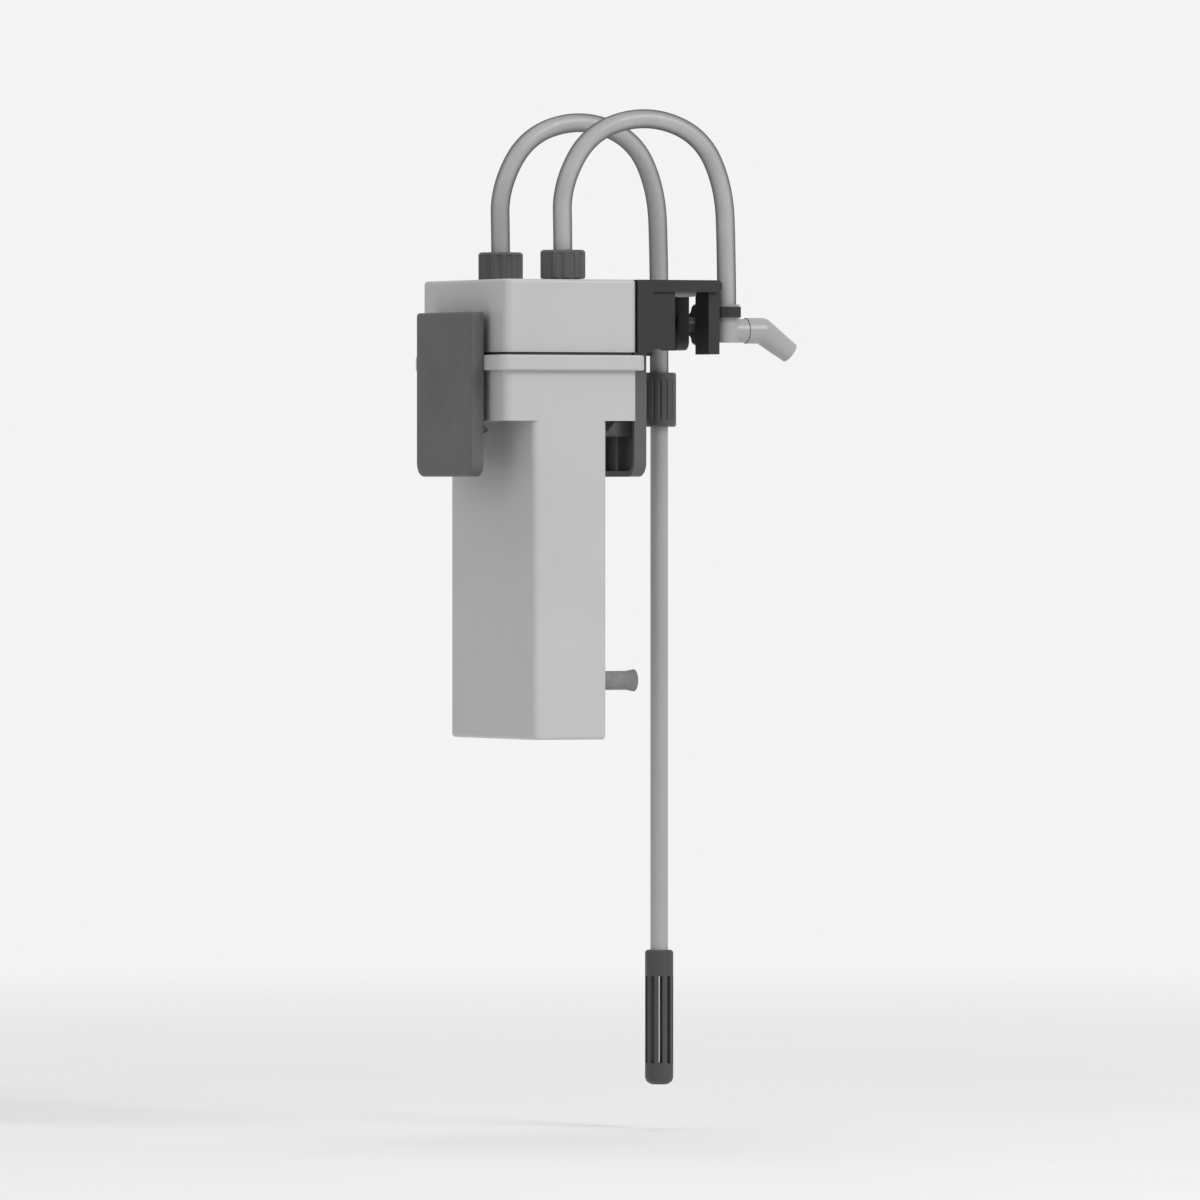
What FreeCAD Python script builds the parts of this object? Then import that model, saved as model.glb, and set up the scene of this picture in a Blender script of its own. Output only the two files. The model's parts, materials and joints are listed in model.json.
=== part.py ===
import FreeCAD, Part
import math
import os

# A small canister filter that hangs on the wall of an aquarium. Millimetres, +Z up.
# The origin is the middle of the rim pad's flat underside, where it rests on the glass.
# +X points into the tank, and +Y runs along the rim.

V = FreeCAD.Vector
X, Y, Z = V(1, 0, 0), V(0, 1, 0), V(0, 0, 1)

# The pump head and the cup
WALL = 2.5                     # wall of the head and of the cup
HEAD_X = (-84.0, -23.0)        # the ends of the head
HALF_Y = 42.0                  # half its width along the rim
HEAD_Z = (-23.4, 7.0)
HEAD_CORNER = 3.5
BASE_RIM_Z = -24.5             # the seam under the head is this rim, set back
SEAM_INSET = 1.5
FLANGE_Z = (-31.0, -24.6)
FLANGE_OUT = 3.0
COLLAR_BOTTOM = -52.0
CUP_X = (-71.0, -37.0)
CUP_BOTTOM = -185.0
CUP_CORNER = 3.0
SPIGOT_INSET = 2.9             # the spigot clears the collar's inner wall by 0.4
SPIGOT_BOTTOM = -40.0
SPIGOT_WALL = 2.0
O_RING_Z = (-33.5, -30.5)
GLAND_X, GLAND_Z = -70.0, -8.0

# The pump
PUMP = (-53.5, 0.0)            # axis of the motor
CAN_R = (8.0, 9.5)
CAN_TOP = (-0.5, 1.0)
PLATE_TOP = -20.8
VOLUTE_R = (13.5, 15.5)
VOLUTE_BOTTOM = -33.0
COVER_THICK = 2.0
SHAFT_R = 1.25
RUNNING = 0.05                 # radial clearance of what turns on a shaft

# Hoses and their fittings
HOSE_R = (3.0, 4.0)
FITTING_X, FITTING_Y = -52.5, 31.0
PIPE_X, PIPE_Y = 22.5, 33.0
STUB_R, STUB_TOP = 7.0, 12.0
NUT_R, NUT_Z = 9.4, (7.3, 19.3)
NUT_RIBS = 12
FLUTE_R, FLUTE_DEPTH = 2.2, 0.65
HOSE_START = 11.5
INTAKE_HOSE_END, OUTLET_HOSE_END = -37.0, -8.0
# x, z of the arch that both hoses share, then of each one's way down to its pipe
HOSE_ARCH = [(-52.5, 25.0), (-53.0, 46.5), (-40.0, 69.0), (-14.0, 76.5), (10.5, 68.0), (21.2, 46.5),
             (22.3, 19.4)]
INTAKE_TAIL = [(22.45, -9.0)]
PIPE_R = (2.75, 3.75)
PIPE_Z = (-282.0, -46.0)
COUPLING_R, COUPLING_Z = 7.2, (-54.0, -31.0)
STRAINER_R = (4.6, 6.0)
STRAINER_Z = (-329.0, -276.0)
ELBOW_R, ELBOW_Z = 5.5, (-19.5, -3.0)
SPOUT_Z = -14.0                # height of the outlet's level part
SPOUT_DOWN = 35.0              # degrees that the nozzle points down

# The hanger
PLATE_Z = (2.0, 7.0)
HANGER_X = (-23.0, 16.0)
LEG_OUT = 7.0                  # thickness of the outer legs
LEG_IN_Y = 28.6                # they leave this much room for the latch, each side
GLASS_FACE = -5.2              # the stop ribs and the spacer touch the glass here
INNER_LEG_X = (11.0, 16.0)
CLAMP_Z = -11.0
SCREW_R = 3.0
PAD_HALF = 5.0

# The latches. u is the distance out from the head's end face.
LATCH_HALF = 27.5
LATCH_Z = (-75.3, -6.6)
LATCH_U = {"left": (3.3, 9.3), "right": (5.2, 11.2)}
LATCH_WALL = 2.0
PIVOT_Z = -10.0
PIVOT_IN = 1.6                 # from the latch's inner face to its pivot
PIN_R = 1.25
PIN_HALF = 21.4                # half the pin's length
EAR_R = 2.1
EAR_Y, EAR_WIDE = (-14.0, 9.0), 5.0
LIP_REACH = 2.6                # how far the lip goes under the collar
LIP_GAP = 0.4
LIP_RAMP = 50.0                # degrees

# The filter media
BASKET_Y = (-37.5, 21.5)
BASKET_X = (-67.5, -40.5)
BASKET_Z = (-178.0, -62.0)
BASKET_WALL = 1.5
DOWN_PIPE_Y = 29.0
DOWN_PIPE_R = (4.8, 6.0)
SPACER_Z = -161.0
SPACER_R, SPIGOT_R, FOOT_R, FOOT_THICK = 4.0, 2.2, 4.7, 3.6


def block(x0, x1, y0, y1, z0, z1):
    return Part.makeBox(x1 - x0, y1 - y0, z1 - z0, V(x0, y0, z0))


def slab(x0, x1, y0, y1, z0, z1, r):
    """An upright block with rounded vertical edges."""
    solid = block(x0, x1, y0, y1, z0, z1)
    upright = [e for e in solid.Edges if abs(e.tangentAt(e.FirstParameter).z) > 0.9]
    return solid.makeFillet(r, upright)


def inset(span, d):
    return span[0] + d, span[1] - d


def head_slab(d, z0, z1):
    """A slab of the head's outline, moved in by d."""
    return slab(*inset(HEAD_X, d), -HALF_Y + d, HALF_Y - d, z0, z1, max(HEAD_CORNER - d, 1.0))


def rod(r, place, axis, length):
    return Part.makeCylinder(r, length, V(*place), axis)


def post(r, x, y, z0, z1):
    return Part.makeCylinder(r, z1 - z0, V(x, y, z0), Z)


def pipe(r_in, r_out, x, y, z0, z1):
    return post(r_out, x, y, z0, z1).cut(post(r_in, x, y, z0, z1))


def turned(points, x, y):
    """The solid that an outline of (radius, height) points makes about an upright axis."""
    corners = [V(x + r, y, z) for r, z in points]
    face = Part.Face(Part.makePolygon(corners + corners[:1]))
    return face.revolve(V(x, y, 0), Z, 360)


def fuse(*shapes):
    solid = shapes[0]
    if len(shapes) > 1:
        solid = solid.fuse(list(shapes[1:]))
    return solid.removeSplitter()


def group(solids):
    return Part.makeCompound(list(solids))


def round_edges(solid, r, keep):
    """Fillets the edges that keep picks, by their bound box."""
    edges = [e for e in solid.Edges if keep(e.BoundBox)]
    return solid.makeFillet(r, edges)


def level_at(z, tolerance=0.01):
    return lambda b: abs(b.ZMin - z) < tolerance and abs(b.ZMax - z) < tolerance


# ---- the hoses ----

def hose_route(side, tail, end):
    """The route's points: up from the fitting, round the arch and down to the pipe."""
    flat = [(FITTING_X, HOSE_START), *HOSE_ARCH, *tail, (PIPE_X, end)]
    lean = (PIPE_Y - FITTING_Y) / (PIPE_X - FITTING_X)
    return [V(x, side * (FITTING_Y + lean * (x - FITTING_X)), z) for x, z in flat]


def rounded_wire(points):
    """Straight runs joined by tangent arcs, and the smallest radius among them."""
    edges, radii, last = [], [], points[0]
    for before, corner, after in zip(points, points[1:], points[2:]):
        a, b = before - corner, after - corner
        half_turn = (math.pi - a.getAngle(b)) / 2
        cut = 0.45 * min(a.Length, b.Length)
        radii.append(cut / math.tan(half_turn))
        p, q = corner + a.normalize() * cut, corner + b.normalize() * cut
        towards = (a + b).normalize()
        centre = corner + towards * (radii[-1] / math.cos(half_turn))
        middle = centre - towards * radii[-1]
        edges += [Part.LineSegment(last, p).toShape(), Part.Arc(p, middle, q).toShape()]
        last = q
    edges.append(Part.LineSegment(last, points[-1]).toShape())
    return Part.Wire(edges), radii


def hose(name, points):
    wire, radii = rounded_wire(points)
    print(name, "bend radii", [round(r) for r in radii], "length", round(wire.Length, 1))
    solids = []
    for r in HOSE_R:
        ring = Part.Wire(Part.makeCircle(r, points[0], points[1] - points[0]))
        solids.append(wire.makePipeShell([ring], True, False))
    tube = solids[1].cut(solids[0])
    section = math.pi * (HOSE_R[1] ** 2 - HOSE_R[0] ** 2)
    print(name, "volume over section times length", round(tube.Volume / section / wire.Length, 4))
    return tube


# ---- the pump head ----

def ear(side, y0, y1):
    """A lug on the head's end face that carries a latch pin."""
    u = LATCH_U[side][0] + PIVOT_IN
    face, out = (HEAD_X[0], -1) if side == "left" else (HEAD_X[1], 1)
    pivot, back = face + out * u, face - out * 1.0
    arm = block(min(pivot, back), max(pivot, back), y0, y1, PIVOT_Z - EAR_R, PIVOT_Z + EAR_R)
    return arm.fuse(rod(EAR_R, (pivot, y0, PIVOT_Z), Y, y1 - y0))


def pin_hole(side, r, half):
    u = LATCH_U[side][0] + PIVOT_IN
    x = HEAD_X[0] - u if side == "left" else HEAD_X[1] + u
    return rod(r, (x, -half, PIVOT_Z), Y, 2 * half)


def hanger_screw_places():
    return [(y, z) for y in (-31.5, 31.5) for z in (-17.0, -4.0)]


def head_shell():
    shell = round_edges(head_slab(0, *HEAD_Z), 1.5, level_at(HEAD_Z[1]))
    shell = shell.cut(head_slab(WALL, HEAD_Z[0] - 1, HEAD_Z[1] - 3.0))
    for side in LATCH_U:
        for y0 in EAR_Y:
            shell = shell.fuse(ear(side, y0, y0 + EAR_WIDE))
        shell = shell.cut(pin_hole(side, PIN_R, PIN_HALF))
    for y, z in hanger_screw_places():
        shell = shell.fuse(rod(3.4, (HEAD_X[1] - WALL - 4.0, y, z), X, 4.5))
        shell = shell.cut(rod(1.6, (HEAD_X[1] - WALL - 4.5, y, z), X, 8.0))
    for y in (-FITTING_Y, FITTING_Y):
        shell = shell.cut(post(STUB_R, FITTING_X, y, 0, HEAD_Z[1] + 1))
    shell = shell.cut(rod(5.0, (GLAND_X, HALF_Y - 5, GLAND_Z), Y, 10))
    return shell.removeSplitter()


def cable_gland():
    parts = [
        rod(5.0, (GLAND_X, HALF_Y - 5.5, GLAND_Z), Y, 5.5),
        rod(6.5, (GLAND_X, HALF_Y - WALL - 3.0, GLAND_Z), Y, 3.0),
        rod(6.5, (GLAND_X, HALF_Y, GLAND_Z), Y, 2.5),
        Part.makeCone(5.2, 3.8, 6.0, V(GLAND_X, HALF_Y + 2.5, GLAND_Z), Y),
    ]
    return fuse(*parts).cut(rod(2.6, (GLAND_X, HALF_Y - 6, GLAND_Z), Y, 15))


def head_base():
    x, y = PUMP
    plate = head_slab(WALL + 0.2, BASE_RIM_Z, PLATE_TOP)
    rim = head_slab(SEAM_INSET, BASE_RIM_Z, HEAD_Z[0])
    spigot = head_slab(SPIGOT_INSET, SPIGOT_BOTTOM, BASE_RIM_Z + 1)
    spigot = spigot.cut(head_slab(SPIGOT_INSET + SPIGOT_WALL, SPIGOT_BOTTOM - 1, BASE_RIM_Z))
    groove = head_slab(SPIGOT_INSET - 1, *O_RING_Z).cut(head_slab(SPIGOT_INSET + 1.0, *O_RING_Z))
    can = post(CAN_R[1], x, y, PLATE_TOP - 1, CAN_TOP[1])
    volute = post(VOLUTE_R[1], x, y, VOLUTE_BOTTOM, BASE_RIM_Z)
    duct = block(x - 6, x + 8, -36, -12, VOLUTE_BOTTOM, BASE_RIM_Z)
    nozzle = post(4.5, FITTING_X, DOWN_PIPE_Y, SPIGOT_BOTTOM - 2, BASE_RIM_Z)
    solid = fuse(plate, rim, spigot, can, volute, duct, nozzle).cut(groove)
    hollow = [
        post(CAN_R[0], x, y, BASE_RIM_Z - 1, CAN_TOP[0]),
        post(VOLUTE_R[0], x, y, VOLUTE_BOTTOM - 1, BASE_RIM_Z),
        block(x - 4, x + 6, -34, -10, VOLUTE_BOTTOM - 1, BASE_RIM_Z),
        post(3.8, FITTING_X, -FITTING_Y + 1, BASE_RIM_Z - 1, PLATE_TOP + 1),
        post(3.4, FITTING_X, DOWN_PIPE_Y, SPIGOT_BOTTOM - 3, BASE_RIM_Z + 1),
        post(3.4, FITTING_X, (DOWN_PIPE_Y + FITTING_Y) / 2, BASE_RIM_Z, PLATE_TOP + 1),
    ]
    for tool in hollow:
        solid = solid.cut(tool)
    return solid.removeSplitter()


def head_o_ring():
    """Sits in the spigot's groove and nearly touches the collar's inner wall."""
    z0, z1 = inset(O_RING_Z, 0.1)
    ring = head_slab(WALL + 0.1, z0, z1).cut(head_slab(SPIGOT_INSET + 1.0, z0, z1))
    outer = [e for e in ring.Edges if e.BoundBox.ZLength < 0.01 and outside_edge(e)]
    return ring.makeFillet(0.6, outer)


def outside_edge(e):
    b = e.BoundBox
    d = SPIGOT_INSET + 0.5
    return (b.XMin < HEAD_X[0] + d or b.XMax > HEAD_X[1] - d
            or b.YMin < -HALF_Y + d or b.YMax > HALF_Y - d)


def stator_core():
    x = PUMP[0]
    core = fuse(
        block(x - 22.5, x - 17.5, -16, 16, -14, -4),
        block(x - 22.5, x + 8.5, -16, -8, -14, -4),
        block(x - 22.5, x + 8.5, 8, 16, -14, -4),
    )
    return core.cut(post(CAN_R[1] + 0.3, *PUMP, -15, -3))


def stator_coil():
    x = PUMP[0]
    coil = slab(x - 26.5, x - 13.5, -7.6, 7.6, -18, 0, 2.5)
    return coil.cut(block(x - 22.5, x - 17.5, -8, 8, -14, -4))


def ceramic_shaft():
    return post(SHAFT_R, *PUMP, VOLUTE_BOTTOM - COVER_THICK + 0.4, CAN_TOP[0])


def shaft_bushes():
    upper = pipe(SHAFT_R, 3.2, *PUMP, CAN_TOP[0] - 1.8, CAN_TOP[0])
    lower = pipe(SHAFT_R, 2.6, *PUMP, VOLUTE_BOTTOM - COVER_THICK + 0.4, VOLUTE_BOTTOM)
    return group([upper, lower])


def impeller_cover():
    """Closes the pump chamber, with its eye held open round the lower bush."""
    x, y = PUMP
    z0, z1 = VOLUTE_BOTTOM - COVER_THICK, VOLUTE_BOTTOM
    cover = fuse(post(VOLUTE_R[1], x, y, z0, z1), block(x - 6, x + 8, -36, -12, z0, z1))
    cover = cover.cut(post(8.0, x, y, z0 - 1, z1 + 1))
    spider = [post(3.8, x, y, z0, z1)]
    for k in range(3):
        arm = block(x, x + 9.0, y - 0.9, y + 0.9, z0, z1)
        arm.rotate(V(x, y, 0), Z, 120 * k + 90)
        spider.append(arm)
    cover = fuse(cover, *spider)
    return cover.cut(post(2.6, x, y, z0 + 0.4, z1 + 1))


def impeller():
    """Six blades on a hub, and the stem that the magnet is moulded round."""
    x, y = PUMP
    parts = [post(4.0, x, y, -32.2, -25.4), post(3.0, x, y, -25.5, -2.8), post(9.5, x, y, -26.4, -25.2)]
    for k in range(6):
        blade = block(x, x + 11.5, y - 0.7, y + 0.7, -32.2, -25.4)
        blade.rotate(V(x, y, 0), Z, 60 * k)
        parts.append(blade)
    return fuse(*parts).cut(post(SHAFT_R + RUNNING, x, y, -33, -2))


def rotor_magnet():
    return pipe(3.0, 6.8, *PUMP, -22.5, -3.2)


def connector(y, low):
    """Threaded stub through the head's top, with the barb that the hose is pushed on."""
    x = FITTING_X
    flange = post(9.0, x, y, 0.0, 2.9).common(head_slab(WALL + 0.2, 0.0, 2.9))
    body = fuse(post(STUB_R, x, y, 0.5, STUB_TOP), flange, post(5.0, x, y, low, 0.5))
    body = body.cut(post(HOSE_R[1] + 0.15, x, y, HOSE_START, STUB_TOP + 1))
    barb = turned(
        [(0, 8), (2.9, 8), (2.9, 15), (2.97, 15.2), (2.6, 17.5), (0, 17.5)], x, y
    )
    return fuse(body, barb).cut(post(2.0, x, y, low - 1, 20)).cut(post(3.8, x, y, low - 1, 4.0))


def connector_seals():
    z0, z1 = 2.9, HEAD_Z[1] - 3.0
    room = head_slab(WALL + 0.2, z0, z1)
    return group(pipe(STUB_R, 8.8, FITTING_X, y, z0, z1).common(room) for y in (-FITTING_Y, FITTING_Y))


def ferrule(y):
    r = HOSE_R[1] + 0.15
    return turned([(r, 12.3), (6.4, 12.3), (6.4, 13.6), (4.75, 16.6), (r, 16.6)], FITTING_X, y)


def nut(y):
    """Round hose nut with broad upright ribs and a tapered seat for the ferrule."""
    z0, z1 = NUT_Z
    body = turned(
        [(STUB_R + 0.15, z0), (NUT_R - 0.5, z0), (NUT_R, z0 + 0.5), (NUT_R, z1 - 0.8), (NUT_R - 0.8, z1),
         (HOSE_R[1] + 0.35, z1), (HOSE_R[1] + 0.35, 17.3), (6.8, 15.0), (STUB_R + 0.15, 15.0)],
        FITTING_X, y,
    )
    grooves = []
    away = NUT_R + FLUTE_R - FLUTE_DEPTH
    for k in range(NUT_RIBS):
        a = 2 * math.pi * k / NUT_RIBS
        place = FITTING_X + away * math.cos(a), y + away * math.sin(a)
        grooves.append(post(FLUTE_R, *place, z0 - 1, z1 - 1.2))
    return body.cut(group(grooves))


# ---- the hanger ----

def hanger_bracket():
    x0, x1 = HANGER_X
    top = round_edges(
        block(x0, x1, -HALF_Y, HALF_Y, *PLATE_Z), 2.0,
        lambda b: b.XMin > x1 - 0.01 and b.ZLength < 0.01,
    )
    parts = [top]
    for s in (-1, 1):
        ys = sorted((s * LEG_IN_Y, s * HALF_Y))
        parts.append(block(x0, x0 + LEG_OUT, *ys, HEAD_Z[0], PLATE_Z[1]))
        rib = sorted((s * 36.5, s * 40.5))
        parts.append(block(x0 + LEG_OUT - 1, GLASS_FACE, *rib, -22.0, PLATE_Z[0] + 0.5))
        inner = sorted((s * 26.5, s * 39.5))
        parts.append(block(*INNER_LEG_X, *inner, -24.0, PLATE_Z[0] + 0.5))
        parts.append(block(INNER_LEG_X[1] - 1, PIPE_X - 4.2, *sorted((s * 30, s * 36)), -8.5, -4.0))
        held = held_radius(s)
        clip = pipe(held, held + 2.2, PIPE_X, s * PIPE_Y, -8.5, -4.0)
        mouth = block(PIPE_X + held * 0.55, PIPE_X + 12, s * PIPE_Y - 12, s * PIPE_Y + 12, -9, -3)
        parts.append(clip.cut(mouth))
    tongue = block(*INNER_LEG_X, -10, 10, -22, PLATE_Z[0] + 0.5)
    parts.append(round_edges(tongue, 4.0, lambda b: level_at(-22)(b) and b.XLength > 4))
    solid = fuse(*parts)
    solid = solid.cut(block(-PAD_HALF, PAD_HALF, -40, 40, PLATE_Z[0] - 1, PLATE_Z[0] + 2))
    solid = solid.cut(rod(4.5, (INNER_LEG_X[0] - 2, 0, CLAMP_Z), X, 10))
    for y, z in hanger_screw_places():
        solid = solid.cut(rod(1.6, (x0 - 1, y, z), X, LEG_OUT + 2))
    for s in (-1, 1):
        solid = solid.cut(post(held_radius(s), PIPE_X, s * PIPE_Y, -25, 3))
    return solid.removeSplitter()


def held_radius(side):
    """The radius that a clip leaves for the outlet elbow or for the intake hose."""
    return (ELBOW_R if side < 0 else HOSE_R[1]) + 0.15


def rim_pad():
    pad = block(-PAD_HALF, PAD_HALF, -40, 40, 0, PLATE_Z[0] + 2)
    return round_edges(pad, 1.4, lambda b: level_at(0)(b) and b.YLength > 20)


def hanger_screws():
    x = HANGER_X[0] + LEG_OUT
    screws = []
    for y, z in hanger_screw_places():
        head = rod(3.2, (x, y, z), X, 2.0)
        head = round_edges(head, 0.9, lambda b: b.XMin > x + 1.9)
        cross = fuse(block(x + 1.0, x + 3, y - 1.9, y + 1.9, z - 0.4, z + 0.4),
                     block(x + 1.0, x + 3, y - 0.4, y + 0.4, z - 1.9, z + 1.9))
        screws.append(fuse(head.cut(cross), rod(1.6, (x - 12.5, y, z), X, 12.6)))
    return group(screws)


def clamp_insert():
    place = (INNER_LEG_X[0] - 0.5, 0, CLAMP_Z)
    return rod(4.5, place, X, 6.0).cut(rod(SCREW_R + 0.06, place, X, 6.0))


def clamp_screw():
    shaft = rod(SCREW_R, (5.1, 0, CLAMP_Z), X, 20)
    knob = round_edges(rod(9.0, (24.0, 0, CLAMP_Z), X, 8.0), 0.8, lambda b: b.XLength < 0.01)
    for k in range(8):
        a = math.pi * k / 4
        place = (23.0, 10.6 * math.cos(a), CLAMP_Z + 10.6 * math.sin(a))
        knob = knob.cut(rod(3.0, place, X, 10))
    return fuse(shaft, knob)


def clamp_pad():
    disc = round_edges(rod(6.0, (3.0, 0, CLAMP_Z), X, 2.0), 0.6, lambda b: b.XMax < 3.01)
    collar = rod(4.4, (5.0, 0, CLAMP_Z), X, 3.5)
    return fuse(disc, collar).cut(rod(SCREW_R + 0.06, (5.0, 0, CLAMP_Z), X, 5))


# ---- the latches ----

def latch(side):
    """A shallow tray, open towards the head, that hooks under the collar with a ramped lip."""
    u0, u1 = LATCH_U[side]
    z0, z1 = LATCH_Z
    h = LATCH_HALF
    plate = block(u0, u1, -h, h, z0, z1)
    plate = round_edges(plate, 6.0, lambda b: b.XLength > 3 and level_at(z0)(b))
    plate = round_edges(plate, 1.4, lambda b: b.XLength > 3 and level_at(z1)(b))
    plate = round_edges(plate, 1.2, lambda b: b.XMin > u1 - 0.01)
    pocket = block(u0 - 1, u1 - LATCH_WALL, 2.2 - h, h - 2.2, z0 + 2.4, z1 - 1.4)
    pocket = round_edges(pocket, 4.0, lambda b: b.XLength > 3 and level_at(z0 + 2.4)(b))
    tray = plate.cut(pocket)
    for y0 in EAR_Y:
        tray = tray.cut(block(u0 - 1, u1 - LATCH_WALL, y0 - 0.6, y0 + EAR_WIDE + 0.6, z1 - 2.0, z1 + 1))
    parts = [tray]
    for y0 in (-21.5, 16.0):
        parts.append(block(u0 - 0.8, u1 - 1.0, y0, y0 + 5.5, PIVOT_Z - 3.0, z1 - 1.0))
    for y0 in (-9.0, 7.0):
        parts.append(block(u0 + 1.0, u1 - 1.0, y0, y0 + 2.0, z0 + 1.0, COLLAR_BOTTOM - 5.0))
    drop = LIP_REACH * math.tan(math.radians(LIP_RAMP))
    top = COLLAR_BOTTOM - LIP_GAP
    outline = [(u1 - 1.0, top), (0.2, top), (-LIP_REACH, top - drop), (-LIP_REACH, top - drop - 0.8),
               (1.5, top - 6.0), (u1 - 1.0, top - 6.0)]
    corners = [V(u, -19, z) for u, z in outline]
    parts.append(Part.Face(Part.makePolygon(corners + corners[:1])).extrude(V(0, 38, 0)))
    solid = fuse(*parts)
    hole = PIN_HALF + 0.2
    solid = solid.cut(rod(PIN_R + 0.06, (u0 + PIVOT_IN, -hole, PIVOT_Z), Y, 2 * hole))
    if side == "left":
        solid = solid.mirror(V(0, 0, 0), X)
        solid.translate(V(HEAD_X[0], 0, 0))
    else:
        solid.translate(V(HEAD_X[1], 0, 0))
    return solid


def latch_pins():
    return group(pin_hole(side, PIN_R, PIN_HALF) for side in LATCH_U)


# ---- the cup and what it holds ----

def cup_shell():
    flange = slab(*inset(HEAD_X, -FLANGE_OUT), -HALF_Y - FLANGE_OUT, HALF_Y + FLANGE_OUT,
                  *FLANGE_Z, HEAD_CORNER + 1)
    flange = round_edges(flange, 0.8, lambda b: b.ZLength < 0.01)
    collar = head_slab(0, COLLAR_BOTTOM, FLANGE_Z[1] - 2)
    body = slab(*CUP_X, -HALF_Y, HALF_Y, CUP_BOTTOM, COLLAR_BOTTOM + 1, CUP_CORNER)
    body = round_edges(body, 1.5, level_at(CUP_BOTTOM))
    solid = fuse(flange, collar, body)
    solid = solid.cut(head_slab(WALL, COLLAR_BOTTOM + WALL, FLANGE_Z[1] + 1))
    well = slab(*inset(CUP_X, WALL), -HALF_Y + WALL, HALF_Y - WALL,
                CUP_BOTTOM + WALL, COLLAR_BOTTOM + WALL + 1, 1.5)
    solid = solid.cut(well)
    floor = CUP_BOTTOM + WALL
    socket = pipe(DOWN_PIPE_R[1], DOWN_PIPE_R[1] + 1.5, FITTING_X, DOWN_PIPE_Y, floor - 0.5, floor + 4)
    solid = solid.fuse(socket)
    boss = rod(SPACER_R + 1.6, (CUP_X[1] - 0.5, 0, SPACER_Z), X, 2.5)
    solid = solid.fuse(boss).cut(rod(SPIGOT_R, (CUP_X[1] + 0.2, 0, SPACER_Z), X, 3))
    return solid.removeSplitter()


def spacer_tube():
    """A rod with a spigot at each end, one in the cup's boss and one in the foot."""
    x0, x1 = CUP_X[1] + 2.0, GLASS_FACE - FOOT_THICK
    return fuse(rod(SPACER_R, (x0, 0, SPACER_Z), X, x1 - x0),
                rod(SPIGOT_R, (x0 - 1.8, 0, SPACER_Z), X, x1 - x0 + 3.8))


def spacer_foot():
    x0 = GLASS_FACE - FOOT_THICK
    foot = Part.makeCone(SPACER_R, FOOT_R, FOOT_THICK, V(x0, 0, SPACER_Z), X)
    return foot.cut(rod(SPIGOT_R, (x0 - 1, 0, SPACER_Z), X, 3.0))


def down_pipe():
    floor = CUP_BOTTOM + WALL
    tube = pipe(*DOWN_PIPE_R, FITTING_X, DOWN_PIPE_Y, floor, -36.0)
    notch = block(FITTING_X - 3, FITTING_X + 3, DOWN_PIPE_Y - 9, DOWN_PIPE_Y, floor + 4.2, floor + 12)
    return tube.cut(notch)


def media_basket():
    x, y = BASKET_X, BASKET_Y
    w = BASKET_WALL
    tub = slab(*x, *y, *BASKET_Z, 2.5)
    tub = tub.cut(slab(*inset(x, w), *inset(y, w), BASKET_Z[0] + w, BASKET_Z[1] + 1, 1.2))
    slots = []
    for k in range(9):
        y0 = y[0] + 5.0 + 6.0 * k
        slots.append(block(x[0] + 4, x[1] - 4, y0, y0 + 2.5, BASKET_Z[0] - 1, BASKET_Z[0] + 3))
    tub = tub.cut(group(slots))
    feet = []
    for fx in (x[0] + 2, x[1] - 5):
        for fy in (y[0] + 2, y[1] - 5):
            feet.append(block(fx, fx + 3, fy, fy + 3, CUP_BOTTOM + WALL, BASKET_Z[0] + 0.5))
    return fuse(tub, *feet)


def basket_lid():
    """A slotted lid with a fixed grip to lift the basket by."""
    x, y = BASKET_X, BASKET_Y
    z = BASKET_Z[1]
    lid = slab(*x, *y, z, z + 2, 2.5)
    slots = []
    for k in range(9):
        y0 = y[0] + 5.0 + 6.0 * k
        if k != 4:
            slots.append(block(x[0] + 4, x[1] - 4, y0, y0 + 2.5, z - 1, z + 3))
    lid = lid.cut(group(slots))
    middle = (y[0] + y[1]) / 2
    grip = block(x[0] + 5, x[1] - 5, middle - 1.5, middle + 1.5, z + 1, z + 14)
    grip = grip.cut(block(x[0] + 8, x[1] - 8, middle - 3, middle + 3, z + 2, z + 11))
    return fuse(lid, grip)


def media_block(z0, z1):
    gap = BASKET_WALL + 0.4
    return slab(*inset(BASKET_X, gap), *inset(BASKET_Y, gap), z0, z1, 1.5)


def ceramic_rings():
    """Short tubes of porous ceramic that lie crosswise in layers."""
    rings = []
    for layer in range(4):
        for column in range(2):
            for row in range(5):
                place = (
                    BASKET_X[0] + 2.4 + 11.3 * column,
                    BASKET_Y[0] + 7.2 + 10.6 * row + 2.0 * (layer % 2),
                    -133.0 + 10.2 * layer,
                )
                rings.append(rod(4.8, place, X, 10.6).cut(rod(2.2, place, X, 10.6)))
    return group(rings)


# ---- inside the tank ----

def intake_coupling():
    x, y = PIPE_X, PIPE_Y
    z0, z1 = COUPLING_Z
    body = turned([(0, z0), (COUPLING_R - 0.6, z0), (COUPLING_R, z0 + 0.6), (COUPLING_R, z1 - 0.6),
                   (COUPLING_R - 0.6, z1), (0, z1)], x, y)
    body = body.cut(post(HOSE_R[1] + 0.15, x, y, INTAKE_HOSE_END - 0.05, z1 + 1))
    body = fuse(body, post(2.9, x, y, INTAKE_HOSE_END - 1, z1 - 1.5))
    body = body.cut(post(2.1, x, y, z0 - 1, z1 + 1)).cut(post(PIPE_R[1], x, y, z0 - 1, PIPE_Z[1]))
    grooves = []
    for k in range(16):
        a = 2 * math.pi * k / 16
        place = x + (COUPLING_R + 0.3) * math.cos(a), y + (COUPLING_R + 0.3) * math.sin(a)
        grooves.append(post(0.8, *place, z0 + 3.0, z1 - 3.0))
    return body.cut(group(grooves))


def intake_pipe():
    return pipe(*PIPE_R, PIPE_X, PIPE_Y, *PIPE_Z)


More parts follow.
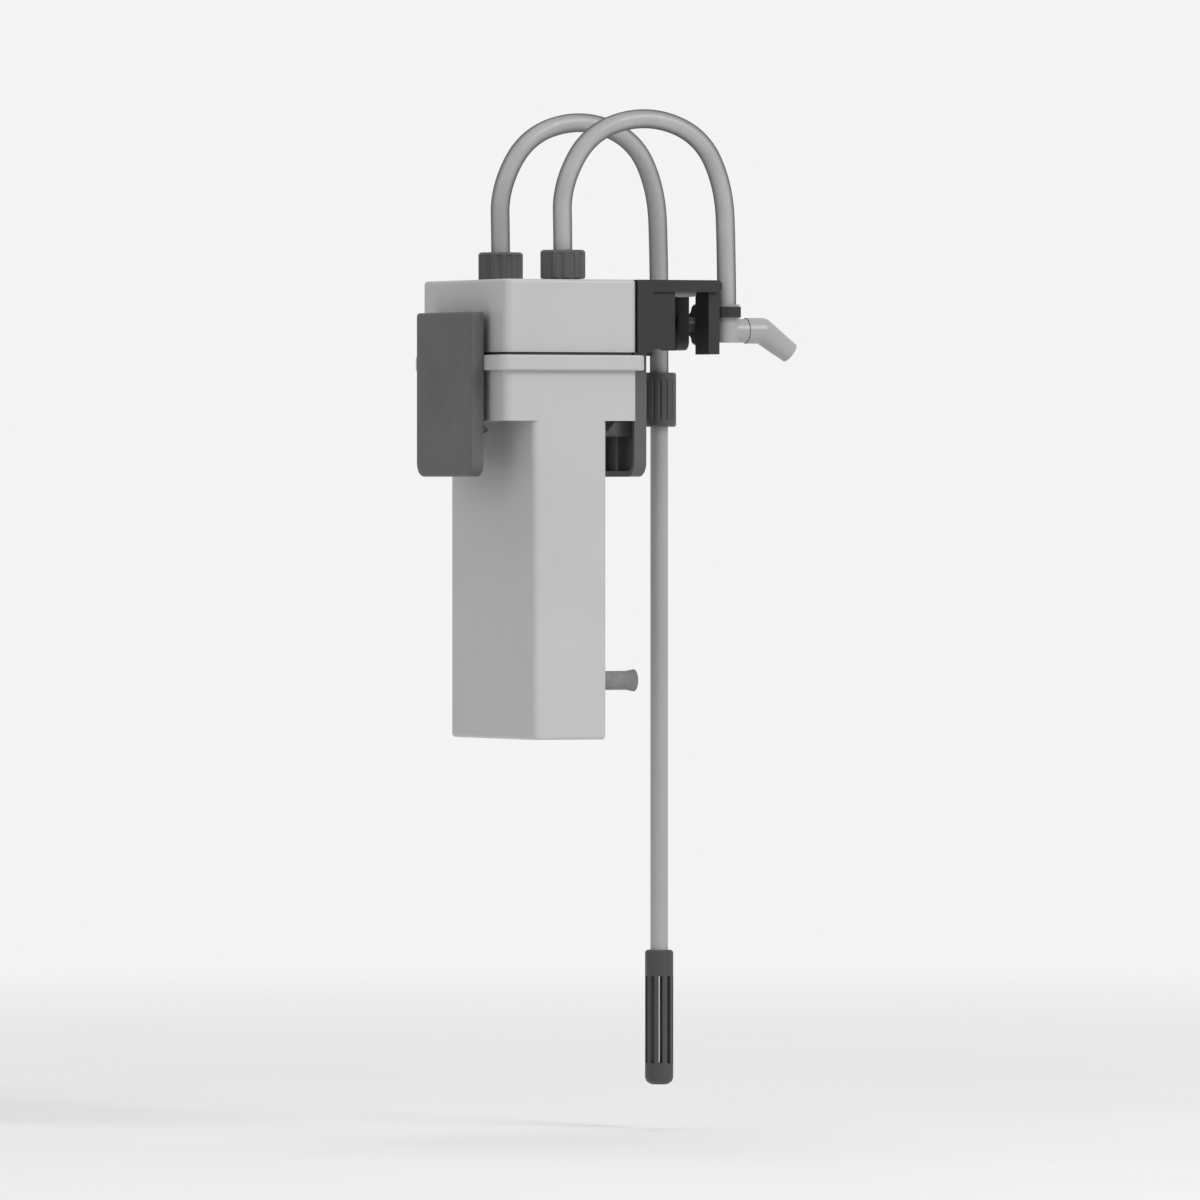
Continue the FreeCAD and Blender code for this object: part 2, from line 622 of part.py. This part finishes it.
def strainer():
    """A slotted tube that pushes over the end of the intake pipe."""
    x, y = PIPE_X, PIPE_Y
    z0, z1 = STRAINER_Z
    step, sleeve = PIPE_Z[0] - 2.0, PIPE_R[1] + 0.08
    r_in, r_out = STRAINER_R
    body = turned([(sleeve, step), (sleeve, z1), (r_out - 0.8, z1), (r_out, z1 - 0.8),
                   (r_out, z0), (r_in, z0), (r_in, step)], x, y)
    slots = []
    for k in range(5):
        slot = block(x - 10, x + 10, y - 0.9, y + 0.9, z0 + 5.0, PIPE_Z[0] - 5.0)
        slot.rotate(V(x, y, 0), Z, 36 * k)
        slots.append(slot)
    return body.cut(group(slots))


def strainer_cap():
    x, y = PIPE_X, PIPE_Y
    z = STRAINER_Z[0]
    r_in, r_out = STRAINER_R
    return turned([(0, z - 4.0), (3.6, z - 4.0), (5.4, z - 2.8), (r_out, z - 1.2), (r_out, z),
                   (r_in, z), (r_in, z + 3.0), (r_in - 1.2, z + 3.0), (r_in - 1.2, z - 1.5),
                   (0, z - 1.5)], x, y)


def outlet_elbow():
    x, y = PIPE_X, -PIPE_Y
    z0, z1 = ELBOW_Z
    solid = fuse(
        post(ELBOW_R, x, y, z0 + 0.5, z1),
        rod(5.0, (x, y, SPOUT_Z), X, 8.5),
        rod(4.0, (x, y, SPOUT_Z), X, 14.5),
    )
    solid = solid.cut(post(HOSE_R[1] + 0.15, x, y, OUTLET_HOSE_END, z1 + 1))
    solid = fuse(solid, post(2.9, x, y, OUTLET_HOSE_END - 1, z1 - 1.0))
    return solid.cut(post(2.1, x, y, SPOUT_Z, z1 + 1)).cut(rod(3.0, (x, y, SPOUT_Z), X, 16))


def outlet_nozzle():
    """Sleeve on the elbow's spigot, and a spout that points down at an angle."""
    x, y = PIPE_X + 8.7, -PIPE_Y
    bend = V(x + 7.5, y, SPOUT_Z)
    down = math.radians(SPOUT_DOWN)
    along = V(math.cos(down), 0, -math.sin(down))
    outer = fuse(rod(5.4, (x, y, SPOUT_Z), X, 7.5), Part.makeSphere(5.4, bend),
                 Part.makeCone(5.4, 4.4, 16.0, bend, along))
    inner = [rod(4.06, (x - 1, y, SPOUT_Z), X, 7.0), rod(3.0, (x - 1, y, SPOUT_Z), X, 8.5),
             Part.makeSphere(3.0, bend), Part.makeCylinder(3.0, 18.0, bend, along)]
    for tool in inner:
        outer = outer.cut(tool)
    return outer


def build():
    intake = hose_route(1, INTAKE_TAIL, INTAKE_HOSE_END)
    outlet = hose_route(-1, [], OUTLET_HOSE_END + 0.5)
    return {
        "head_shell": head_shell(),
        "head_base": head_base(),
        "head_o_ring": head_o_ring(),
        "stator_core": stator_core(),
        "stator_coil": stator_coil(),
        "ceramic_shaft": ceramic_shaft(),
        "shaft_bushes": shaft_bushes(),
        "impeller_cover": impeller_cover(),
        "impeller": impeller(),
        "rotor_magnet": rotor_magnet(),
        "inlet_connector": connector(FITTING_Y, PLATE_TOP),
        "outlet_connector": connector(-FITTING_Y, PLATE_TOP),
        "connector_seals": connector_seals(),
        "inlet_ferrule": ferrule(FITTING_Y),
        "outlet_ferrule": ferrule(-FITTING_Y),
        "inlet_nut": nut(FITTING_Y),
        "outlet_nut": nut(-FITTING_Y),
        "cable_gland": cable_gland(),
        "hanger_bracket": hanger_bracket(),
        "hanger_screws": hanger_screws(),
        "rim_pad": rim_pad(),
        "clamp_insert": clamp_insert(),
        "clamp_screw": clamp_screw(),
        "clamp_pad": clamp_pad(),
        "latch_left": latch("left"),
        "latch_right": latch("right"),
        "latch_pins": latch_pins(),
        "cup_shell": cup_shell(),
        "spacer_tube": spacer_tube(),
        "spacer_foot": spacer_foot(),
        "down_pipe": down_pipe(),
        "media_basket": media_basket(),
        "basket_lid": basket_lid(),
        "coarse_sponge": media_block(-176.0, -140.0),
        "ceramic_rings": ceramic_rings(),
        "fine_pad": media_block(-90.0, -74.0),
        "intake_hose": hose("intake_hose", intake),
        "outlet_hose": hose("outlet_hose", outlet),
        "intake_coupling": intake_coupling(),
        "intake_pipe": intake_pipe(),
        "strainer": strainer(),
        "strainer_cap": strainer_cap(),
        "outlet_elbow": outlet_elbow(),
        "outlet_nozzle": outlet_nozzle(),
    }


os.makedirs("parts", exist_ok=True)
for node, shape in build().items():
    if not shape.isValid() or shape.Volume <= 0:
        print("not valid:", node)
    shape.exportStep(f"parts/{node}.step")
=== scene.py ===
import bmesh
import bpy
import json
import math
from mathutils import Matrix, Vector, noise


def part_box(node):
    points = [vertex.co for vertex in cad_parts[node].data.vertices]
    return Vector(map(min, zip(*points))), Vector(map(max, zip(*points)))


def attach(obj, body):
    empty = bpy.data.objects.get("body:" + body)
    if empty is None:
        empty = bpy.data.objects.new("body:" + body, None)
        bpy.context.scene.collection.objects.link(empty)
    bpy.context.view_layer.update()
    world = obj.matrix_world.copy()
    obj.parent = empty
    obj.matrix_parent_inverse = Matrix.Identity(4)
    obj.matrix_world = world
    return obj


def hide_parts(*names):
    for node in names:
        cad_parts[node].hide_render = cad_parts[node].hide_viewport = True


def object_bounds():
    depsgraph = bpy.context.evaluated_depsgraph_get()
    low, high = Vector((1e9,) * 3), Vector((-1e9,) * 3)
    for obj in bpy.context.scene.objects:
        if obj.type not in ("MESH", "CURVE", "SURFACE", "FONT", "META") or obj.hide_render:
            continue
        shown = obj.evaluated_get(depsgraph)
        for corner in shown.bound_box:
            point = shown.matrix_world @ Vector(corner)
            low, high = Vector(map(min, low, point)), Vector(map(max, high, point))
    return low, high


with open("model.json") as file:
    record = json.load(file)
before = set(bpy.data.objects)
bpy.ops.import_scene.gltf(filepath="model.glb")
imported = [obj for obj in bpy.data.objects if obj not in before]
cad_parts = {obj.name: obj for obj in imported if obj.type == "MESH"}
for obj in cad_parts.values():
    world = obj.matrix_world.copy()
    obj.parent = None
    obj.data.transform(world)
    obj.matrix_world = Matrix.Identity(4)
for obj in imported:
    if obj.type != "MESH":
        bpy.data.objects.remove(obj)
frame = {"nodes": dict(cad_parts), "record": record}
cad_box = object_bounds()

# The looks of a hang-on canister filter. Metres, in the CAD frame: +X points into the tank,
# +Y runs along the rim and +Z is up. The origin is under the middle of the rim pad.

MM = 0.001

# Camera, floor and light
CAMERA_AZIMUTH = math.radians(-25.2)
CAMERA_AWAY = 5.5
CAMERA_Z = -0.085
LENS, SENSOR = 392.0, 36.0             # millimetres
NEAR, FAR = 0.1, 60
FLOOR_Z = -0.352
FLOOR_SOLID, FLOOR_END = 0.5, 1.9      # the floor fades out between these radii
BACKGROUND = 0.90
SKY = 0.56
LIT_POINT = (0, 0, -0.12)
# each lamp's name, place, size across and power
LAMPS = (("key", (1.1, -2.6, 1.7), 1.6, 50), ("fill", (-2.6, -1.2, 1.0), 2.0, 8),
         ("top", (0.2, 0.6, 2.6), 1.8, 16))

# Hoses: (x, z) of their routes' points, in millimetres. Each hose lies in its own upright plane,
# which runs from its fitting's (x, y) to its pipe's and is mirrored in y for the outlet.
HOSE_ARCH = ((-52.5, 11.5), (-52.5, 25), (-53, 46.5), (-40, 69), (-14, 76.5), (10.5, 68),
             (21.2, 46.5), (22.3, 19.4))
INTAKE_TAIL = ((22.45, -9), (22.5, -37))
OUTLET_TAIL = ((22.5, -7.5),)
HOSE_OD, HOSE_WALL = 8.0, 1.0
FITTING_X, FITTING_Y, PIPE_X, PIPE_Y = -52.5, 31.0, 22.5, 33.0

# Filter media
GRID_CUTS = 22                         # cuts in each edge of a block
FOAM_INSET = 0.0001
PIT_DEPTH = 0.55                       # of a cell
BROAD_PITS = 3                         # the broad pits are that many cells wide
FINE_SHARE, BROAD_SHARE = 0.35, 0.65
NOISE_STEP = (7.1, 3.3, 5.7)           # gives each block its own stretch of the noise

# Wear: the cosine between the rounded and the true normal on a flat face and on an edge
FLAT_COSINE, EDGE_COSINE = 0.995, 0.86
BEVEL_SAMPLES = 6


# ---------------------------------------------------------------- materials

def feed(mat, socket, value):
    """Links value to the socket if it is a node's output, and otherwise sets it there."""
    if isinstance(value, bpy.types.NodeSocket):
        mat.node_tree.links.new(value, socket)
    else:
        socket.default_value = value


def node(mat, kind, inputs=None, **props):
    """A node of that kind in a material, or in the world. An input is a number, a colour or
    another node's output."""
    made = mat.node_tree.nodes.new("ShaderNode" + kind)
    for name, value in props.items():
        setattr(made, name, value)
    for name, value in (inputs or {}).items():
        feed(mat, made.inputs[name], value)
    return made


def plug(mat, source, name):
    """Links source to that input of the material's own shader."""
    mat.node_tree.links.new(source, mat.node_tree.nodes["Principled BSDF"].inputs[name])


def grey(value, warm=0.0):
    """A grey, made yellower by warm."""
    return value * (1 + warm), value, value * (1 - 1.5 * warm), 1.0


def new_material(name, **sockets):
    """A material whose shader has those values on its own sockets."""
    mat = bpy.data.materials.new(name)
    mat.use_nodes = True
    shader = mat.node_tree.nodes["Principled BSDF"]
    for key, value in sockets.items():
        shader.inputs[key.replace("_", " ")].default_value = value
    return mat


def place(mat, scale=(1, 1, 1)):
    """Coordinates in metres, stretched by scale."""
    where = node(mat, "TexCoord").outputs["Object"]
    return node(mat, "Mapping", {"Vector": where, "Scale": scale}).outputs[0]


def cloud(mat, scale, detail=2.0, rough=0.5, stretch=(1, 1, 1)):
    """Noise with that many features a metre."""
    made = node(mat, "TexNoise", {"Vector": place(mat, stretch), "Scale": scale, "Detail": detail,
                                  "Roughness": rough})
    return made.outputs["Fac"]


def between(mat, value, low, high, out_low=0.0, out_high=1.0):
    """The value mapped from low...high to out_low...out_high, and held at the ends."""
    made = node(mat, "MapRange", {"Value": value, "From Min": low, "From Max": high,
                                  "To Min": out_low, "To Max": out_high})
    return made.outputs[0]


def blend(mat, factor, a, b):
    """Colour a turning into colour b as factor goes from 0 to 1."""
    made = node(mat, "Mix", data_type="RGBA")
    for socket, value in ((0, factor), (6, a), (7, b)):
        feed(mat, made.inputs[socket], value)
    return made.outputs[2]


def maths(mat, how, a, b):
    """The result of that operation on a and b."""
    return node(mat, "Math", {0: a, 1: b}, operation=how).outputs[0]


def worn_edges(mat, radius):
    """1 along the outer edges and 0 on flat faces, broken up by noise."""
    rounded = node(mat, "Bevel", {"Radius": radius}, samples=BEVEL_SAMPLES).outputs[0]
    flat = node(mat, "NewGeometry").outputs["Normal"]
    same = node(mat, "VectorMath", {0: rounded, 1: flat}, operation="DOT_PRODUCT")
    edge = between(mat, same.outputs["Value"], FLAT_COSINE, EDGE_COSINE)
    return maths(mat, "MULTIPLY", edge, between(mat, cloud(mat, 160, 3), 0.3, 0.65))


def bump(mat, height, distance, strength, under=None):
    """A normal bent by height, on top of the normal under it."""
    inputs = {"Height": height, "Distance": distance, "Strength": strength}
    if under is not None:
        inputs["Normal"] = under
    return node(mat, "Bump", inputs).outputs[0]


def moulded(name, colour, rough, grain=1500.0, relief=0.00002, wear=0.0, edge=0.0004, spread=0.05,
            warm=0.0, **sockets):
    """Injection-moulded plastic: fine spark-eroded grain, slow waves, faint flow marks, dust that
    dulls it in patches, and edges polished and lightened by handling."""
    mat = new_material(name, **sockets)
    patches = between(mat, cloud(mat, 22, 4), 0.3, 0.7)
    tone = blend(mat, patches, grey(colour * (1 - spread), warm), grey(colour * (1 + spread), warm))
    flow = between(mat, cloud(mat, 70, 2, stretch=(1, 1, 0.12)), 0.35, 0.7, 0.0, 0.35)
    tone = blend(mat, flow, tone, grey(colour * (1 - 0.6 * spread), warm))
    specks = between(mat, cloud(mat, 900, 1), 0.66, 0.74, 0.0, 0.35)
    tone = blend(mat, specks, tone, grey(colour * (1 - 2.2 * spread), warm))
    dull = between(mat, cloud(mat, 55, 5, 0.6), 0.35, 0.7, rough - 0.05, rough + 0.07)
    if wear:
        worn = worn_edges(mat, edge)
        bare = grey(min(1, colour * 1.5 + 0.05), warm)
        tone = blend(mat, maths(mat, "MULTIPLY", worn, wear), tone, bare)
        dull = maths(mat, "SUBTRACT", dull, maths(mat, "MULTIPLY", worn, 0.12))
    plug(mat, tone, "Base Color")
    plug(mat, dull, "Roughness")
    waves = bump(mat, cloud(mat, 90, 1), 0.0001, 0.12)
    plug(mat, bump(mat, cloud(mat, grain, 2), relief, 0.45, waves), "Normal")
    return mat


def shell_plastic():
    return moulded("shell", 0.50, 0.42, wear=0.35, edge=0.0005, spread=0.034, warm=0.004,
                   Specular_IOR_Level=0.42)


def latch_plastic():
    return moulded("latch", 0.098, 0.50, grain=1100.0, relief=0.00004, wear=0.5, spread=0.08,
                   warm=0.012)


def hanger_plastic():
    return moulded("hanger", 0.014, 0.50, grain=1200.0, relief=0.00003, wear=0.45, spread=0.12)


def nut_plastic():
    return moulded("nut", 0.078, 0.44, wear=0.6, edge=0.0003, spread=0.08, warm=0.006)


def base_plastic():
    return moulded("base", 0.060, 0.40, wear=0.3, spread=0.07)


def pipe_plastic():
    return moulded("pipe", 0.42, 0.36, grain=1900.0, spread=0.05, Transmission_Weight=0.12,
                   Coat_Weight=0.15, Coat_Roughness=0.2)


def strainer_plastic():
    return moulded("strainer", 0.052, 0.48, wear=0.4, edge=0.0002, spread=0.10)


def basket_plastic():
    return moulded("basket", 0.10, 0.36, spread=0.06, Transmission_Weight=0.2)


def ferrule_plastic():
    return moulded("ferrule", 0.70, 0.30, spread=0.03, warm=0.02)


def impeller_plastic():
    return moulded("impeller", 0.72, 0.32, spread=0.03, warm=0.01)


def rubber(name, colour, rough, warm=0.0):
    """Matt moulded rubber with a bloom that greys it in patches."""
    mat = new_material(name, Specular_IOR_Level=0.3)
    bloom = between(mat, cloud(mat, 120, 5, 0.65), 0.42, 0.72)
    tone = blend(mat, bloom, grey(colour, warm), grey(colour * 1.35 + 0.01, warm))
    plug(mat, tone, "Base Color")
    plug(mat, between(mat, cloud(mat, 300, 3), 0.3, 0.7, rough - 0.08, rough + 0.06), "Roughness")
    pores = bump(mat, cloud(mat, 1700, 3), 0.00005, 0.5)
    plug(mat, bump(mat, cloud(mat, 240, 1), 0.00012, 0.2, pores), "Normal")
    return mat


def rim_rubber():
    return rubber("rim_rubber", 0.19, 0.62, warm=0.01)


def black_rubber():
    return rubber("black_rubber", 0.022, 0.66)


def ferrite():
    """Sintered ferrite: dark, dense, with fine pits and a dull metallic sheen."""
    mat = new_material("ferrite", Metallic=0.35)
    grain = cloud(mat, 1400, 5, 0.7)
    plug(mat, blend(mat, between(mat, grain, 0.4, 0.65), grey(0.035), grey(0.075)), "Base Color")
    plug(mat, between(mat, grain, 0.3, 0.7, 0.42, 0.62), "Roughness")
    plug(mat, bump(mat, grain, 0.00006, 0.6), "Normal")
    return mat


def core_steel():
    """A laminated core: the edges of thin sheets show as lines."""
    mat = new_material("core_steel", Metallic=0.9)
    sheets = node(mat, "TexWave", {"Vector": place(mat), "Scale": 320.0, "Distortion": 0.2},
                  wave_type="BANDS", bands_direction="X").outputs["Fac"]
    plug(mat, blend(mat, sheets, grey(0.20, 0.02), grey(0.42, 0.01)), "Base Color")
    plug(mat, between(mat, cloud(mat, 400, 3), 0.3, 0.7, 0.30, 0.48), "Roughness")
    plug(mat, bump(mat, sheets, 0.00008, 0.5), "Normal")
    return mat


def coil_wrap():
    """Varnished tape over the winding, with the turns showing through."""
    mat = new_material("coil_wrap", Coat_Weight=0.5, Coat_Roughness=0.15)
    turns = node(mat, "TexWave", {"Vector": place(mat), "Scale": 260.0, "Distortion": 0.6},
                 wave_type="BANDS", bands_direction="Z").outputs["Fac"]
    plug(mat, blend(mat, turns, (0.24, 0.10, 0.03, 1), (0.42, 0.20, 0.06, 1)), "Base Color")
    plug(mat, between(mat, cloud(mat, 500, 3), 0.3, 0.7, 0.30, 0.45), "Roughness")
    plug(mat, bump(mat, turns, 0.00012, 0.6), "Normal")
    return mat


def metal(name, colour, rough, spots):
    """Turned metal: fine tool marks and slight tarnish."""
    mat = new_material(name, Metallic=1.0)
    tarnish = between(mat, cloud(mat, 260, 4, 0.6), 0.45, 0.75)
    plug(mat, blend(mat, tarnish, colour, spots), "Base Color")
    marks = cloud(mat, 2400, 2, stretch=(1, 1, 0.1))
    plug(mat, between(mat, marks, 0.3, 0.7, rough - 0.06, rough + 0.10), "Roughness")
    plug(mat, bump(mat, marks, 0.00003, 0.4), "Normal")
    return mat


def steel():
    return metal("steel", (0.60, 0.60, 0.61, 1), 0.30, (0.42, 0.41, 0.39, 1))


def insert_brass():
    return metal("brass", (0.72, 0.52, 0.24, 1), 0.32, (0.48, 0.33, 0.15, 1))


def shaft_ceramic():
    """Fired ceramic: off-white, slightly porous."""
    mat = new_material("ceramic", Coat_Weight=0.12, Coat_Roughness=0.3)
    pores = cloud(mat, 1500, 5, 0.7)
    tone = blend(mat, between(mat, pores, 0.35, 0.6), (0.62, 0.57, 0.50, 1), (0.80, 0.76, 0.70, 1))
    plug(mat, tone, "Base Color")
    plug(mat, between(mat, pores, 0.3, 0.7, 0.62, 0.46), "Roughness")
    plug(mat, bump(mat, pores, 0.00012, 0.5), "Normal")
    return mat


def hose_vinyl():
    """Smoke-grey flexible vinyl, slightly wavy. Its sides, where the surface turns edge-on to the
    camera, get painted shade in the base colour, standing in for the longer way light goes through
    the wall there."""
    mat = new_material("hose_vinyl", IOR=1.46, Transmission_Weight=0.10, Coat_Weight=0.10,
                       Coat_Roughness=0.2, Specular_IOR_Level=0.35)
    haze = between(mat, cloud(mat, 60, 3), 0.3, 0.7)
    tone = blend(mat, haze, grey(0.42), grey(0.47))
    side = node(mat, "LayerWeight", {"Blend": 0.5}).outputs["Facing"]
    # painted shade: the base colour goes near-black where the surface turns edge-on
    plug(mat, blend(mat, between(mat, side, 0.18, 0.72), tone, grey(0.035)), "Base Color")
    waves = cloud(mat, 420, 2)
    plug(mat, between(mat, waves, 0.3, 0.7, 0.32, 0.44), "Roughness")
    plug(mat, bump(mat, waves, 0.00002, 0.12), "Normal")
    return mat


def foam(name, low, high, cells, depth):
    """Open-cell foam or felted floss: pores whose floors are darkened by painted shade."""
    mat = new_material(name, Specular_IOR_Level=0.15, Sheen_Weight=0.2, Sheen_Roughness=0.6)
    pores = node(mat, "TexVoronoi", {"Vector": place(mat), "Scale": cells, "Randomness": 1.0},
                 feature="SMOOTH_F1").outputs["Distance"]
    pore_pit_and_shade = between(mat, pores, 0.15, 0.6)
    fuzz = cloud(mat, cells * 2.2, 4, 0.65)
    # painted shade: the pore floors take the darker colour low, where the bump makes pits
    tone = blend(mat, pore_pit_and_shade, low, high)
    plug(mat, blend(mat, between(mat, fuzz, 0.35, 0.7, 0.0, 0.4), tone, low), "Base Color")
    plug(mat, between(mat, fuzz, 0.3, 0.7, 0.82, 0.95), "Roughness")
    plug(mat, bump(mat, pore_pit_and_shade, depth, 0.8, bump(mat, fuzz, depth * 0.4, 0.5)), "Normal")
    return mat


def coarse_foam():
    return foam("coarse_foam", (0.010, 0.012, 0.014, 1), (0.045, 0.050, 0.055, 1), 620.0, 0.0006)


def fine_floss():
    return foam("fine_floss", (0.52, 0.53, 0.54, 1), (0.80, 0.81, 0.82, 1), 1500.0, 0.0003)


def finish_nodes():
    """Gives every CAD node the material of its slot, and returns the materials by slot."""
    makers = (shell_plastic, latch_plastic, hanger_plastic, nut_plastic, base_plastic, hose_vinyl,
              pipe_plastic, strainer_plastic, basket_plastic, rim_rubber, black_rubber,
              ferrule_plastic, impeller_plastic, ferrite, core_steel, coil_wrap, steel,
              insert_brass, shaft_ceramic, coarse_foam, fine_floss)
    made = {maker.__name__: maker() for maker in makers}
    for part in frame["record"]["subparts"]:
        obj = frame["nodes"][part["node"]]
        for held in obj.material_slots:
            held.material = made[part["material_slot"]]
    return made


# ---------------------------------------------------------------- hoses

def hose(name, tail, side, material):
    """One hose as a smooth curve along its route, with its own wall. side is 1 or -1 in y."""
    slope = (PIPE_Y - FITTING_Y) / (PIPE_X - FITTING_X)
    points = [Vector((x, side * (FITTING_Y + slope * (x - FITTING_X)), z)) * MM
              for x, z in HOSE_ARCH + tail]
    curve = bpy.data.curves.new(name, "CURVE")
    curve.dimensions = "3D"
    curve.bevel_depth = HOSE_OD / 2 * MM
    curve.bevel_resolution = 8
    spline = curve.splines.new("NURBS")
    spline.points.add(len(points) - 1)
    for point, spot in zip(spline.points, points):
        point.co = (*spot, 1.0)
    spline.order_u = 3
    spline.use_endpoint_u = True
    spline.resolution_u = 14
    obj = bpy.data.objects.new(name, curve)
    bpy.context.scene.collection.objects.link(obj)
    curve.materials.append(material)
    wall = obj.modifiers.new("wall", "SOLIDIFY")
    wall.thickness = HOSE_WALL * MM
    wall.offset = -1.0
    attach(obj, "pump_head")
    return obj


# ---------------------------------------------------------------- filter media

def foam_block(name, cad_node, material, cell, seed, crown):
    """A foam block in its CAD solid's box: rounded, slightly crowned, with a torn-cell surface."""
    low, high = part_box(cad_node)
    centre, half = (low + high) / 2, (high - low) / 2
    bm = bmesh.new()
    bmesh.ops.create_cube(bm, size=2.0)
    bmesh.ops.subdivide_edges(bm, edges=bm.edges[:], cuts=GRID_CUTS, use_grid_fill=True)
    shift = Vector([seed * step for step in NOISE_STEP])
    for vert in bm.verts:
        unit = vert.co.copy()
        # the faces' middles stand a little prouder than their borders, and corners are rounded
        for axis in range(3):
            others = [unit[i] for i in range(3) if i != axis]
            vert.co[axis] *= 1 - crown * (others[0] ** 4 + others[1] ** 4) / 2
        spot = Vector([vert.co[i] * half[i] for i in range(3)])
        fine = noise.noise(spot / cell + shift)
        broad = noise.noise(spot / (cell * BROAD_PITS) + shift)
        inward = -abs(fine * FINE_SHARE + broad * BROAD_SHARE) * cell * PIT_DEPTH
        spot += unit.normalized() * (inward - FOAM_INSET)
        vert.co = centre + spot
    mesh = bpy.data.meshes.new(name)
    bm.to_mesh(mesh)
    bm.free()
    mesh.materials.append(material)
    for face in mesh.polygons:
        face.use_smooth = True
    obj = bpy.data.objects.new(name, mesh)
    bpy.context.scene.collection.objects.link(obj)
    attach(obj, "cup")
    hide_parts(cad_node)


# ---------------------------------------------------------------- floor, light, camera

def floor():
    """A pale disc that fades into the background at its rim."""
    bm = bmesh.new()
    bmesh.ops.create_circle(bm, cap_ends=True, segments=128, radius=FLOOR_END)
    mesh = bpy.data.meshes.new("floor")
    bm.to_mesh(mesh)
    bm.free()
    obj = bpy.data.objects.new("floor", mesh)
    obj.location = (0, 0, FLOOR_Z)
    bpy.context.scene.collection.objects.link(obj)
    mat = new_material("floor", Roughness=0.85, Specular_IOR_Level=0.1)
    patches = between(mat, cloud(mat, 6, 3), 0.3, 0.7)
    plug(mat, blend(mat, patches, grey(0.86), grey(0.88)), "Base Color")
    far = node(mat, "VectorMath", {0: place(mat)}, operation="LENGTH").outputs["Value"]
    plug(mat, between(mat, far, FLOOR_SOLID, FLOOR_END, 1.0, 0.0), "Alpha")
    mesh.materials.append(mat)


def lamp(name, spot, size, power):
    """A soft round lamp that points at the object."""
    light = bpy.data.lights.new(name, "AREA")
    light.shape = "DISK"
    light.size = size
    light.energy = power
    obj = bpy.data.objects.new(name, light)
    obj.location = spot
    obj.rotation_euler = (Vector(LIT_POINT) - Vector(spot)).to_track_quat("-Z", "Y").to_euler()
    bpy.context.scene.collection.objects.link(obj)


def sky():
    """Even soft light all round. What the camera sees behind the object is paler."""
    world = bpy.data.worlds.new("studio")
    bpy.context.scene.world = world
    world.use_nodes = True
    world.node_tree.nodes.clear()
    white = grey(1.0)
    seen = node(world, "LightPath").outputs["Is Camera Ray"]
    lit = node(world, "Background", {"Color": white, "Strength": SKY}).outputs[0]
    behind = node(world, "Background", {"Color": white, "Strength": BACKGROUND}).outputs[0]
    both = node(world, "MixShader", {0: seen, 1: lit, 2: behind}).outputs[0]
    node(world, "OutputWorld", {0: both})


def camera():
    """Looks at the middle of the CAD box from the photograph's angle."""
    low, high = cad_box
    aim = (low + high) / 2
    back = Vector((math.sin(CAMERA_AZIMUTH), -math.cos(CAMERA_AZIMUTH), 0))
    data = bpy.data.cameras.new("camera")
    data.lens = LENS
    data.sensor_width = SENSOR
    data.clip_start, data.clip_end = NEAR, FAR
    obj = bpy.data.objects.new("camera", data)
    obj.location = Vector((aim.x, aim.y, CAMERA_Z)) + back * CAMERA_AWAY
    obj.rotation_euler = (aim - obj.location).to_track_quat("-Z", "Y").to_euler()
    bpy.context.scene.collection.objects.link(obj)
    bpy.context.scene.camera = obj


camera()
sky()
floor()
for one in LAMPS:
    lamp(*one)
bpy.context.scene.view_settings.view_transform = "Standard"

slots = finish_nodes()
intake = hose("intake_hose_line", INTAKE_TAIL, 1, slots["hose_vinyl"])
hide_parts("intake_hose")
outlet = hose("outlet_hose_line", OUTLET_TAIL, -1, slots["hose_vinyl"])
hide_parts("outlet_hose")
foam_block("sponge_block", "coarse_sponge", slots["coarse_foam"],
           cell=0.0016, seed=3, crown=0.06)
foam_block("floss_pad", "fine_pad", slots["fine_floss"],
           cell=0.0009, seed=8, crown=0.10)
